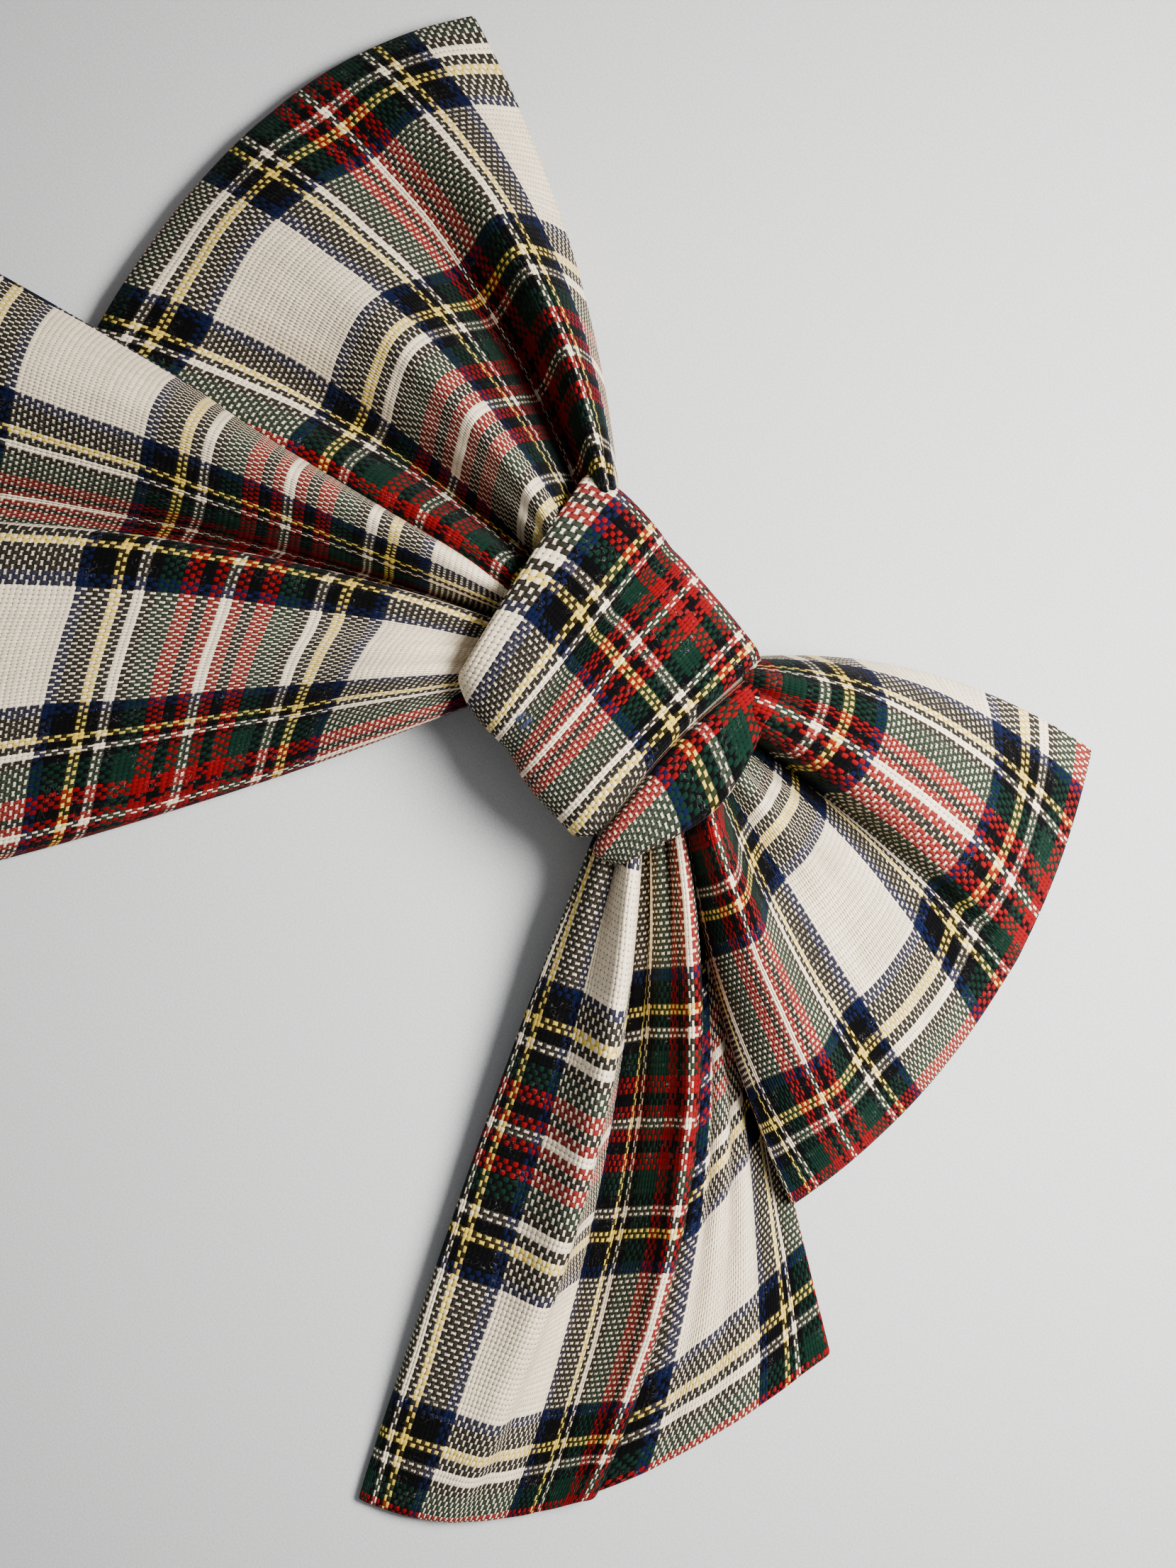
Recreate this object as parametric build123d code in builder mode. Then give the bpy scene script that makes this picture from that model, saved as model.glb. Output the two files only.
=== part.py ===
"""A ready-tied floppy bow tie: two loops, two tails, a knot and a sprung clip on its back.

The bow lies on its back. The origin is under the middle of the knot, on the clip's flat
lever. +X runs out along the right loop, +Y points away from the tails and +Z out of the
front of the bow. Millimetres throughout.
"""

import os
from math import cos, radians, sin

from build123d import *

# Cloth
cloth_thickness = 0.6
ply_gap = 0.15
piece_gap = 0.3

# Knot: a flattened ring round the waist, its axis along X
knot_height = 40.0
knot_depth = 20.0
knot_corner_radius = 8.0
knot_over_clip = 1.5
knot_left_edge_x = -19.6
knot_left_edge_tilt = 16.0
knot_right_edge_x = 25.0
knot_right_edge_tilt = 2.0

# Waist: the two gathered strips inside the knot
waist_slack = 0.9
waist_side_slack = 2.0
loop_waist_share = 0.58
waist_join_gap = 1.0
waist_corner_radius = 2.5

# Thread
thread_diameter = 0.6
binding_turns = 5
binding_pitch = 1.3
join_stitch_count = 6
join_stitch_length = 2.2
back_stitch_count = 8
back_stitch_pitch = 4.2

# Left loop: a fan about a point near the knot. Its low edge keeps clear of the left tail,
# so it is placed from that tail's root, as (x, y)
left_loop_fan_centre = (-2.0, 12.0)
left_loop_reach = 97.7
left_loop_start = 155.5
left_loop_fan = 48.0
left_loop_front_height = 24.5
left_loop_end_height = 12.4
left_loop_low_edge_from_tail_root = (-47.6, -9.2)
left_loop_low_edge_slope = 15.9

# Right loop, the same way
right_loop_fan_centre = (-22.1, -18.1)
right_loop_reach = 104.6
right_loop_fan = 50.0
right_loop_start = -8.5
right_loop_front_height = 25.0
right_loop_end_height = 13.4
right_loop_low_edge_from_tail_root = (14.1, 4.6)
right_loop_low_edge_slope = -27.2

# Both loops
loop_root_front_rise = 5.5
loop_root_back_rise = 0.5
loop_back_bend_inset = 36.0
loop_shoulder_inset = 52.0
loop_bend_radius = 25.0

# Tails: each swings about its root, inside the knot's lower corner. A section is
# (distance out, offset across) at each side, then height and pleat depth
tail_root_up_from_knot_edge = (13.0, 12.0)
tail_root_in_from_knot_side = (7.6, 11.0)
left_tail_root_height = 13.6
right_tail_root_height = 13.0
tail_root_pleat = 2.6
left_tail_heading = 223.2
left_tail_length = 137.0
left_tail_end_half_width = 54.0
left_tail_root_sides = ((14.0, -11.0), (14.0, 8.0))
left_tail_sections = [
    ((42.0, -25.0), (39.0, 24.0), 8.0, 3.5),
    ((82.0, -45.5), (76.0, 45.0), 3.6, 2.0),
]
right_tail_heading = -42.3
right_tail_low_corner_length = 114.0
right_tail_high_corner_length = 92.0
right_tail_end_half_width = 36.6
right_tail_root_sides = ((19.3, -5.4), (14.2, 10.6))
right_tail_sections = [
    ((37.5, -15.9), (34.7, 18.4), 7.0, 3.5),
    ((69.8, -20.3), (66.0, 25.0), 3.6, 2.2),
]
tail_end_base = 0.35
tail_end_pleat = 0.3
pleat_pattern = [-0.6, 0.75, 0.6, -0.95, 0.6, 0.75, -0.6]

# Clip on the back of the knot
clip_plate_length = 42.0
clip_plate_width = 10.0
clip_sheet = 0.8
clip_height = 7.0
clip_pin_x = -4.0
clip_pin_rise = 0.3
clip_pin_radius = 0.75
clip_pin_head_radius = 1.3
clip_pin_head = 0.5
pin_clearance = 0.05
lug_length = 5.0
lug_clearance = 0.35
lever_pinch_length = 20.0
jaw_reach = 24.0
jaw_gap = 0.3
jaw_lip_height = 2.2
sewing_hole_radius = 0.9
sewing_hole_x = (7.0, 12.0)
sewing_hole_y = 2.6
spring_sheet = 0.4
spring_width = 4.0
spring_arm = 9.0

os.makedirs("parts", exist_ok=True)
pitch = cloth_thickness + ply_gap
knot_bottom_z = clip_height + knot_over_clip
knot_centre_z = knot_bottom_z + knot_depth / 2
clip_pin_z = (clip_height - clip_sheet) / 2 + clip_pin_rise
left_tail_root = (
    knot_left_edge_x + tail_root_in_from_knot_side[0],
    tail_root_up_from_knot_edge[0] - knot_height / 2,
)
right_tail_root = (
    knot_right_edge_x - tail_root_in_from_knot_side[1],
    tail_root_up_from_knot_edge[1] - knot_height / 2,
)


def save(part, name):
    """Labels a finished piece and writes it."""
    part.label = name
    export_step(part, f"parts/{name}.step")


def upright_plane(origin, heading):
    """A vertical plane through origin that runs along heading, with its local Y up."""
    run = Vector(cos(radians(heading)), sin(radians(heading)), 0)
    return Plane(origin=(*origin, 0), x_dir=run, z_dir=run.cross(Vector(0, 0, 1)))


def knot_side(edge_x, tilt, outward, gap):
    """The slanted plane at one side of the knot, moved outward by a gap."""
    side = Vector(cos(radians(tilt)), -sin(radians(tilt)), 0) * outward
    return Plane(origin=Vector(edge_x, 0, 0) + side * gap, z_dir=side)


def left_side(gap=0.0):
    return knot_side(knot_left_edge_x, -knot_left_edge_tilt, -1, gap)


def right_side(gap=0.0):
    return knot_side(knot_right_edge_x, knot_right_edge_tilt, 1, gap)


# ---------------------------------------------------------------- loops


def loop_ply(centre, reach, start, fan, front_height, end_height, inset):
    """One ply of a loop: out over the front, round the outer fold and back underneath."""
    half = cloth_thickness / 2 + inset
    root = abs(knot_left_edge_x) * 0.6
    outer = reach - half
    fold_radius = (end_height - 2 * half) / 2 - 0.2
    with BuildPart() as ply:
        with BuildSketch(upright_plane(centre, start)):
            with BuildLine():
                FilletPolyline(
                    (root, knot_centre_z + loop_root_front_rise - inset),
                    (reach - loop_shoulder_inset, front_height - half),
                    (outer, end_height - half),
                    (outer, half),
                    (reach - loop_back_bend_inset, half),
                    (root, knot_centre_z + loop_root_back_rise + inset),
                    radius=[loop_bend_radius, fold_radius, fold_radius, loop_bend_radius],
                )
            trace(line_width=cloth_thickness)
        revolve(axis=Axis((*centre, 0), (0, 0, 1)), revolution_arc=fan)
    return ply.part


left_loop_size = (
    left_loop_fan_centre,
    left_loop_reach,
    left_loop_start,
    left_loop_fan,
    left_loop_front_height,
    left_loop_end_height,
)
right_loop_size = (
    right_loop_fan_centre,
    right_loop_reach,
    right_loop_start,
    right_loop_fan,
    right_loop_front_height,
    right_loop_end_height,
)
left_low_edge_plane = Plane(
    origin=Vector(*left_tail_root) + Vector(*left_loop_low_edge_from_tail_root),
    z_dir=Vector(0, 1, 0).rotate(Axis.Z, left_loop_low_edge_slope),
)
right_low_edge_plane = Plane(
    origin=Vector(*right_tail_root) + Vector(*right_loop_low_edge_from_tail_root),
    z_dir=Vector(0, 1, 0).rotate(Axis.Z, right_loop_low_edge_slope),
)

with BuildPart() as left_loop_face:
    add(loop_ply(*left_loop_size, 0.0))
    split(bisect_by=left_side(piece_gap), keep=Keep.TOP)
    split(bisect_by=left_low_edge_plane, keep=Keep.TOP)
save(left_loop_face.part, "left_loop_face")

with BuildPart() as left_loop_lining:
    add(loop_ply(*left_loop_size, pitch))
    split(bisect_by=left_side(piece_gap), keep=Keep.TOP)
    split(bisect_by=left_low_edge_plane, keep=Keep.TOP)
save(left_loop_lining.part, "left_loop_lining")

with BuildPart() as right_loop_face:
    add(loop_ply(*right_loop_size, 0.0))
    split(bisect_by=right_side(piece_gap), keep=Keep.TOP)
    split(bisect_by=right_low_edge_plane, keep=Keep.TOP)
save(right_loop_face.part, "right_loop_face")

with BuildPart() as right_loop_lining:
    add(loop_ply(*right_loop_size, pitch))
    split(bisect_by=right_side(piece_gap), keep=Keep.TOP)
    split(bisect_by=right_low_edge_plane, keep=Keep.TOP)
save(right_loop_lining.part, "right_loop_lining")

# ---------------------------------------------------------------- tails


def tail_ply(root, heading, sections, lift):
    """One ply of a tail: pleated at the knot, opening out to a nearly flat square end."""
    out = Vector(cos(radians(heading)), sin(radians(heading)), 0)
    across = Vector(-sin(radians(heading)), cos(radians(heading)), 0)
    with BuildPart() as ply:
        for near, far, base, pleat in sections:
            start = Vector(*root, 0) + out * near[0] + across * near[1]
            end = Vector(*root, 0) + out * far[0] + across * far[1]
            span = end - start
            width = span.length
            lower = [
                (width * place / (len(pleat_pattern) - 1), base + pleat * wave + lift)
                for place, wave in enumerate(pleat_pattern)
            ]
            upper = [(x, z + cloth_thickness) for x, z in reversed(lower)]
            up_plane = Plane(
                origin=start, x_dir=span, z_dir=span.cross(Vector(0, 0, 1))
            )
            with BuildSketch(up_plane):
                with BuildLine():
                    Spline(*lower)
                    Line(lower[-1], upper[0])
                    Spline(*upper)
                    Line(upper[-1], lower[0])
                make_face()
        loft(ruled=True)
    return ply.part


left_tail_sides = [
    (*left_tail_root_sides, left_tail_root_height, tail_root_pleat),
    *left_tail_sections,
    (
        (left_tail_length, -left_tail_end_half_width),
        (left_tail_length, left_tail_end_half_width),
        tail_end_base,
        tail_end_pleat,
    ),
]
right_tail_sides = [
    (*right_tail_root_sides, right_tail_root_height, tail_root_pleat),
    *right_tail_sections,
    (
        (right_tail_low_corner_length, -right_tail_end_half_width),
        (right_tail_high_corner_length, right_tail_end_half_width),
        tail_end_base,
        tail_end_pleat,
    ),
]

with BuildPart() as left_tail_face:
    add(tail_ply(left_tail_root, left_tail_heading, left_tail_sides, pitch))
save(left_tail_face.part, "left_tail_face")

with BuildPart() as left_tail_lining:
    add(tail_ply(left_tail_root, left_tail_heading, left_tail_sides, 0.0))
save(left_tail_lining.part, "left_tail_lining")

with BuildPart() as right_tail_face:
    add(tail_ply(right_tail_root, right_tail_heading, right_tail_sides, pitch))
save(right_tail_face.part, "right_tail_face")

with BuildPart() as right_tail_lining:
    add(tail_ply(right_tail_root, right_tail_heading, right_tail_sides, 0.0))
save(right_tail_lining.part, "right_tail_lining")

# ---------------------------------------------------------------- knot


def knot_ring(inset):
    """One ply of the knot's band, a closed ring along X with slanted sides."""
    with BuildPart() as ring:
        with BuildSketch(Plane.YZ):
            with Locations((0, knot_centre_z)):
                RectangleRounded(
                    knot_height - 2 * inset,
                    knot_depth - 2 * inset,
                    knot_corner_radius - inset,
                )
                RectangleRounded(
                    knot_height - 2 * (inset + cloth_thickness),
                    knot_depth - 2 * (inset + cloth_thickness),
                    knot_corner_radius - inset - cloth_thickness,
                    mode=Mode.SUBTRACT,
                )
        extrude(amount=2 * knot_height, both=True)
        split(bisect_by=left_side(), keep=Keep.BOTTOM)
        split(bisect_by=right_side(), keep=Keep.BOTTOM)
    return ring.part


with BuildPart() as knot_face:
    add(knot_ring(0.0))
save(knot_face.part, "knot_face")

with BuildPart() as knot_lining:
    add(knot_ring(pitch))
save(knot_lining.part, "knot_lining")

# ---------------------------------------------------------------- waist

hollow_height = knot_height - 2 * (pitch + cloth_thickness)
hollow_depth = knot_depth - 2 * (pitch + cloth_thickness)
waist_height = hollow_height - 2 * waist_side_slack - 2 * thread_diameter
waist_depth = hollow_depth - 2 * waist_slack - 2 * thread_diameter
waist_top_z = knot_centre_z + waist_depth / 2
waist_bottom_z = knot_centre_z - waist_depth / 2
loop_waist_depth = (waist_depth - waist_join_gap) * loop_waist_share
tail_waist_depth = waist_depth - waist_join_gap - loop_waist_depth
join_bottom_z = waist_bottom_z + tail_waist_depth

with BuildPart() as loop_waist:
    with BuildSketch(Plane.YZ):
        with Locations((0, waist_top_z - loop_waist_depth / 2)):
            RectangleRounded(waist_height, loop_waist_depth, waist_corner_radius)
    extrude(amount=2 * knot_height, both=True)
    split(bisect_by=left_side(piece_gap), keep=Keep.BOTTOM)
    split(bisect_by=right_side(piece_gap), keep=Keep.BOTTOM)
save(loop_waist.part, "loop_waist")

with BuildPart() as tail_waist:
    with BuildSketch(Plane.YZ):
        with Locations((0, waist_bottom_z + tail_waist_depth / 2)):
            RectangleRounded(waist_height, tail_waist_depth, waist_corner_radius)
    extrude(amount=2 * knot_height, both=True)
    split(bisect_by=left_side(), keep=Keep.BOTTOM)
    split(bisect_by=right_side(), keep=Keep.BOTTOM)
save(tail_waist.part, "tail_waist")

# ---------------------------------------------------------------- threads

with BuildPart() as waist_binding_thread:
    first_turn_x = -binding_pitch * (binding_turns - 1) / 2
    for turn in range(binding_turns):
        with BuildSketch(Plane.YZ.offset(first_turn_x + turn * binding_pitch)):
            with Locations((0, knot_centre_z)):
                RectangleRounded(
                    waist_height + 2 * thread_diameter,
                    waist_depth + 2 * thread_diameter,
                    waist_corner_radius + thread_diameter,
                )
                RectangleRounded(
                    waist_height, waist_depth, waist_corner_radius, mode=Mode.SUBTRACT
                )
        extrude(amount=thread_diameter / 2, both=True)
save(waist_binding_thread.part, "waist_binding_thread")

with BuildPart() as loop_join_stitches:
    with BuildSketch(Plane.XY.offset(join_bottom_z)):
        stitch_room = waist_height - 3 * waist_corner_radius
        with GridLocations(0, stitch_room / (join_stitch_count - 1), 1, join_stitch_count):
            SlotOverall(join_stitch_length, thread_diameter)
    extrude(amount=waist_join_gap)
save(loop_join_stitches.part, "loop_join_stitches")

with BuildPart() as knot_back_stitches:
    with BuildSketch(Plane.XY.offset(knot_bottom_z)):
        with Locations((0, clip_plate_width / 2 + 2.5)):
            with GridLocations(back_stitch_pitch, 0, back_stitch_count, 1):
                SlotOverall(join_stitch_length, thread_diameter)
    extrude(amount=-thread_diameter)
save(knot_back_stitches.part, "knot_back_stitches")

# ---------------------------------------------------------------- clip

plate_top_z = clip_height
plate_low_z = clip_height - clip_sheet
jaw_tip_x = clip_pin_x + jaw_reach
plate_back_x = jaw_tip_x - clip_plate_length
lug_outer = clip_plate_width / 2
ear_outer = lug_outer - clip_sheet - lug_clearance
lug_low_z = clip_pin_z - 1.8
ear_top_z = clip_pin_z + 1.8

with BuildPart() as clip_plate:
    with BuildSketch(Plane.XY.offset(plate_low_z)):
        with Locations(((plate_back_x + jaw_tip_x) / 2, 0)):
            RectangleRounded(clip_plate_length, clip_plate_width, 2.5)
    extrude(amount=clip_sheet)
    for side in (-1, 1):
        with BuildSketch(Plane.XZ.offset(-side * lug_outer)):
            with BuildLine():
                Polyline(
                    (clip_pin_x - lug_length / 2, plate_low_z + clip_sheet / 2),
                    (clip_pin_x - lug_length / 2, clip_pin_z),
                    (clip_pin_x - lug_length / 4, lug_low_z),
                    (clip_pin_x + lug_length / 4, lug_low_z),
                    (clip_pin_x + lug_length / 2, clip_pin_z),
                    (clip_pin_x + lug_length / 2, plate_low_z + clip_sheet / 2),
                    close=True,
                )
            make_face()
            with Locations((clip_pin_x, clip_pin_z)):
                Circle(clip_pin_radius + pin_clearance, mode=Mode.SUBTRACT)
        extrude(amount=side * clip_sheet)
    with BuildSketch(Plane.YZ.offset(jaw_tip_x - clip_sheet)):
        lip_low_z = clip_sheet + jaw_lip_height + jaw_gap
        with Locations((0, (plate_top_z + lip_low_z) / 2)):
            Rectangle(clip_plate_width - 5.0, plate_top_z - lip_low_z)
    extrude(amount=clip_sheet)
    with BuildSketch(Plane.XY.offset(plate_top_z)):
        for hole_x in sewing_hole_x:
            with Locations((hole_x, -sewing_hole_y), (hole_x, sewing_hole_y)):
                Circle(sewing_hole_radius)
    extrude(amount=-clip_sheet, mode=Mode.SUBTRACT)
save(clip_plate.part, "clip_plate")

with BuildPart() as clip_lever:
    lever_length = lever_pinch_length + jaw_reach
    with BuildSketch(Plane.XY):
        with Locations((clip_pin_x + (jaw_reach - lever_pinch_length) / 2, 0)):
            RectangleRounded(lever_length, 2 * ear_outer, 2.0)
    extrude(amount=clip_sheet)
    for side in (-1, 1):
        with BuildSketch(Plane.XZ.offset(-side * ear_outer)):
            with BuildLine():
                Polyline(
                    (clip_pin_x - lug_length / 2, clip_sheet / 2),
                    (clip_pin_x - lug_length / 2, clip_pin_z),
                    (clip_pin_x - lug_length / 4, ear_top_z),
                    (clip_pin_x + lug_length / 4, ear_top_z),
                    (clip_pin_x + lug_length / 2, clip_pin_z),
                    (clip_pin_x + lug_length / 2, clip_sheet / 2),
                    close=True,
                )
            make_face()
            with Locations((clip_pin_x, clip_pin_z)):
                Circle(clip_pin_radius + pin_clearance, mode=Mode.SUBTRACT)
        extrude(amount=side * clip_sheet)
    with BuildSketch(Plane.YZ.offset(jaw_tip_x - clip_sheet)):
        with Locations((0, (clip_sheet + jaw_lip_height) / 2)):
            Rectangle(clip_plate_width - 5.0, clip_sheet + jaw_lip_height)
    extrude(amount=clip_sheet)
save(clip_lever.part, "clip_lever")

with BuildPart() as clip_pin:
    with BuildSketch(Plane.XZ):
        with Locations((clip_pin_x, clip_pin_z)):
            Circle(clip_pin_radius)
    extrude(amount=lug_outer + clip_pin_head, both=True)
    for side in (-1, 1):
        with BuildSketch(Plane.XZ.offset(side * lug_outer)):
            with Locations((clip_pin_x, clip_pin_z)):
                Circle(clip_pin_head_radius)
        extrude(amount=side * clip_pin_head)
save(clip_pin.part, "clip_pin")

with BuildPart() as clip_spring:
    spring_low_z = clip_sheet + spring_sheet / 2
    spring_top_z = plate_low_z - spring_sheet / 2
    spring_turn = (spring_top_z - spring_low_z) / 2
    spring_reach = spring_turn + spring_sheet / 2 + piece_gap
    spring_root_x = clip_pin_x - clip_pin_radius - spring_reach
    with BuildSketch(Plane.XZ):
        with BuildLine():
            Line((spring_root_x - spring_arm, spring_top_z), (spring_root_x, spring_top_z))
            RadiusArc(
                (spring_root_x, spring_top_z), (spring_root_x, spring_low_z), spring_turn
            )
            Line((spring_root_x, spring_low_z), (spring_root_x - spring_arm, spring_low_z))
        trace(line_width=spring_sheet)
    extrude(amount=spring_width / 2, both=True)
save(clip_spring.part, "clip_spring")

with BuildPart() as clip_stitches:
    leg_height = knot_bottom_z - (plate_low_z - thread_diameter)
    with BuildSketch(Plane.XY.offset(plate_low_z - thread_diameter)):
        for hole_x in sewing_hole_x:
            with Locations((hole_x, -sewing_hole_y), (hole_x, sewing_hole_y)):
                Circle(thread_diameter / 2)
    extrude(amount=leg_height)
    with BuildSketch(Plane.XY.offset(plate_low_z - thread_diameter)):
        for hole_x in sewing_hole_x:
            with Locations((hole_x, 0)):
                SlotOverall(2 * sewing_hole_y + thread_diameter, thread_diameter, rotation=90)
    extrude(amount=thread_diameter)
save(clip_stitches.part, "clip_stitches")
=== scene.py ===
import math
from collections import namedtuple

import bmesh
import bpy
import numpy as np
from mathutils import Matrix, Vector, noise


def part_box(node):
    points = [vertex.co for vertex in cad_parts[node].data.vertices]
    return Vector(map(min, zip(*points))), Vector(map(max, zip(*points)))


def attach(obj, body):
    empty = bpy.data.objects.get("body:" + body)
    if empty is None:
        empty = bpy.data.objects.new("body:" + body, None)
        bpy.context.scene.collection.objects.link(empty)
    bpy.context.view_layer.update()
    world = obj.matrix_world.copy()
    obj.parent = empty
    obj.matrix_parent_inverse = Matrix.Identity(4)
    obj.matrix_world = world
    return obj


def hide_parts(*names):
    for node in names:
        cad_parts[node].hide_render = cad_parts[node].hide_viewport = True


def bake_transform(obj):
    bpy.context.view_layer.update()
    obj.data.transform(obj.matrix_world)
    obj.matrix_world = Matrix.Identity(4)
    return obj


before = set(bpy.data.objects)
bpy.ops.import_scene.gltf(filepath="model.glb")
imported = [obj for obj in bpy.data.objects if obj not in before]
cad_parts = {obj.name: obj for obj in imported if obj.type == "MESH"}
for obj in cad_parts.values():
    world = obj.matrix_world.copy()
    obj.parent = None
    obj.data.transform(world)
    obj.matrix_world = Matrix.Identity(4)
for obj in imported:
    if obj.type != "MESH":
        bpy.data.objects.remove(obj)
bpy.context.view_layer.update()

MM = 0.001

# The cloth: one tartan, woven, turned into a tube and pressed. Millimetres.
LENGTHWISE_PITCH = 0.626
CROSSWISE_PITCH = 0.94
# How much of its pitch each thread fills.
LENGTHWISE_FULLNESS = 0.94
CROSSWISE_FULLNESS = 0.98
# How far the lengthwise threads stand above the crosswise ones, in thread heights.
LENGTHWISE_RISE = 0.10
# How far a dark thread's colour spreads over the sides of a paler one that it crosses, as
# painted shade on those sides, in thread heights.
PAINTED_SIDE_SHADE_SPREAD = 1.25
# A thread's top at rest, how much it rounds off to its sides, and how far it goes
# over and under the other set.
THREAD_TOP = 0.8
THREAD_ROUNDING = 3.2
THREAD_WAVE = 0.6
# How far the threads stray from their place: over a hand's width, and thread by thread.
DRIFT = 1.6
WAVER = 0.18
# How much lighter or darker a thread is than the next, and a worn patch than the rest.
THREAD_SHADING = 0.24
PATCH_SHADING = 0.26
# How crisply one thread's colour ends at another, and how its fibres fray that edge.
EDGE_SHARPNESS = 2.8
EDGE_RAGGEDNESS = 2.4
# The share of both colours that brushing has mixed over the whole face.
BRUSHED_SHARE = 0.05
# Painted shade darkens the gaps between threads below this height, in thread heights, this
# sharply.
PINHOLE_HEIGHT = 0.15
PINHOLE_SHARPNESS = 2.2
# How thin the loose hairs on the face are, and how much they show.
HAIR_FINENESS = 110.0
HAIR_STRENGTH = 0.30
STRIP_WIDTH = 112.0
CLOTH_THICKNESS = 1.35
# The lowest middle height of a ply that lies on the table.
RESTING_HEIGHT = CLOTH_THICKNESS / 2 + 0.05

MID_GREY = (0.5, 0.5, 0.5)
HAIR_GREY = (0.42, 0.40, 0.38, 1)

# Dyes. Colours are linear.
CREAM = (0.95, 0.80, 0.58)
NAVY = (0.003, 0.006, 0.030)
BLACK = (0.0015, 0.0015, 0.002)
YELLOW = (0.74, 0.52, 0.07)
GREEN = (0.003, 0.017, 0.010)
RED = (0.17, 0.002, 0.004)

# The sett from a pivot outward: each band's last thread and its colour.
LENGTHWISE_SETT = [
    (1, CREAM), (3, RED), (5, BLACK), (9, RED), (16, GREEN), (18, BLACK),
    (20, CREAM), (22, BLACK), (24, YELLOW), (30, BLACK), (33, NAVY), (49.5, CREAM),
]
CROSSWISE_SETT = [
    (1, CREAM), (3, RED), (5, BLACK), (8, RED), (12, GREEN), (14, BLACK),
    (16, CREAM), (18, BLACK), (20, YELLOW), (24, BLACK), (26, NAVY), (37.5, CREAM),
]


# ---------------------------------------------------------------- shader nodes

def add_node(tree, kind, **settings):
    node = tree.nodes.new(kind)
    for name, value in settings.items():
        setattr(node, name, value)
    return node


def feed(tree, node, socket, value):
    """Links a socket to the node's input, or sets the input to a plain value."""
    if isinstance(value, bpy.types.NodeSocket):
        tree.links.new(value, node.inputs[socket])
    else:
        node.inputs[socket].default_value = value


def calculate(tree, operation, *values):
    node = add_node(tree, "ShaderNodeMath", operation=operation)
    for index, value in enumerate(values):
        feed(tree, node, index, value)
    return node.outputs[0]


def combine(tree, operation, first, second):
    node = add_node(tree, "ShaderNodeVectorMath", operation=operation)
    feed(tree, node, 0, first)
    feed(tree, node, 3 if operation == "SCALE" else 1, second)
    return node.outputs[0]


def blend_colours(tree, kind, share, first, second):
    node = add_node(tree, "ShaderNodeMix", data_type="RGBA", blend_type=kind)
    feed(tree, node, 0, share)
    feed(tree, node, 6, first)
    feed(tree, node, 7, second)
    return node.outputs[2]


def brightness(tree, colour):
    node = add_node(tree, "ShaderNodeRGBToBW")
    feed(tree, node, 0, colour)
    return node.outputs[0]


def factor_about_one(tree, chance, spread):
    """Turns a value between zero and one into a factor that varies by the spread."""
    return calculate(tree, "MULTIPLY_ADD", chance, spread, 1 - spread / 2)


def limit(tree, value):
    node = add_node(tree, "ShaderNodeClamp")
    feed(tree, node, 0, value)
    return node.outputs[0]


def noise_texture(tree, vector, scale, detail=2.0):
    node = add_node(tree, "ShaderNodeTexNoise")
    feed(tree, node, "Vector", vector)
    feed(tree, node, "Scale", scale)
    feed(tree, node, "Detail", detail)
    return node


def new_group(name, inputs, outputs):
    tree = bpy.data.node_groups.new(name, "ShaderNodeTree")
    for socket, kind in inputs:
        tree.interface.new_socket(socket, in_out="INPUT", socket_type=kind)
    for socket, kind in outputs:
        tree.interface.new_socket(socket, in_out="OUTPUT", socket_type=kind)
    entry = tree.nodes.new("NodeGroupInput")
    leave = tree.nodes.new("NodeGroupOutput")
    return tree, entry, leave


def sett_colour(tree, sett, index, pivot):
    """The colour of the thread with this index, mirrored about each pivot."""
    half_repeat = sett[-1][0]
    from_pivot = calculate(tree, "SUBTRACT", calculate(tree, "ADD", index, 0.5), pivot)
    place = calculate(tree, "PINGPONG", from_pivot, half_repeat)
    ramp = add_node(tree, "ShaderNodeValToRGB")
    ramp.color_ramp.interpolation = "CONSTANT"
    stops = ramp.color_ramp.elements
    stops.remove(stops[1])
    stops[0].color = (*sett[0][1], 1)
    for (last, _), (_, colour) in zip(sett, sett[1:]):
        stops.new(last / half_repeat).color = (*colour, 1)
    tree.links.new(calculate(tree, "DIVIDE", place, half_repeat), ramp.inputs[0])
    return ramp.outputs["Color"]


def thread_shade(tree, colour, index, seed):
    """Each thread is dyed and spun a little lighter or darker than the next."""
    chance = add_node(tree, "ShaderNodeTexWhiteNoise", noise_dimensions="2D")
    place = add_node(tree, "ShaderNodeCombineXYZ")
    feed(tree, place, 0, index)
    feed(tree, place, 1, seed)
    feed(tree, chance, "Vector", place.outputs[0])
    shade = factor_about_one(tree, chance.outputs["Value"], THREAD_SHADING)
    return combine(tree, "SCALE", colour, shade)


def thread_height(tree, side, index, length, sign, fullness):
    """Height of a thread: round across, and rising over and under the other set."""
    off_centre = calculate(tree, "SUBTRACT", calculate(tree, "SUBTRACT", side, index), 0.5)
    square = calculate(tree, "MULTIPLY", off_centre, off_centre)
    round_top = calculate(tree, "MULTIPLY_ADD", square, -THREAD_ROUNDING / fullness**2,
                          THREAD_TOP)
    phase = calculate(tree, "SUBTRACT", calculate(tree, "ADD", index, length), 0.5)
    wave = calculate(tree, "COSINE", calculate(tree, "MULTIPLY", phase, math.pi))
    return calculate(tree, "MULTIPLY_ADD", wave, THREAD_WAVE * sign, round_top)


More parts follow.
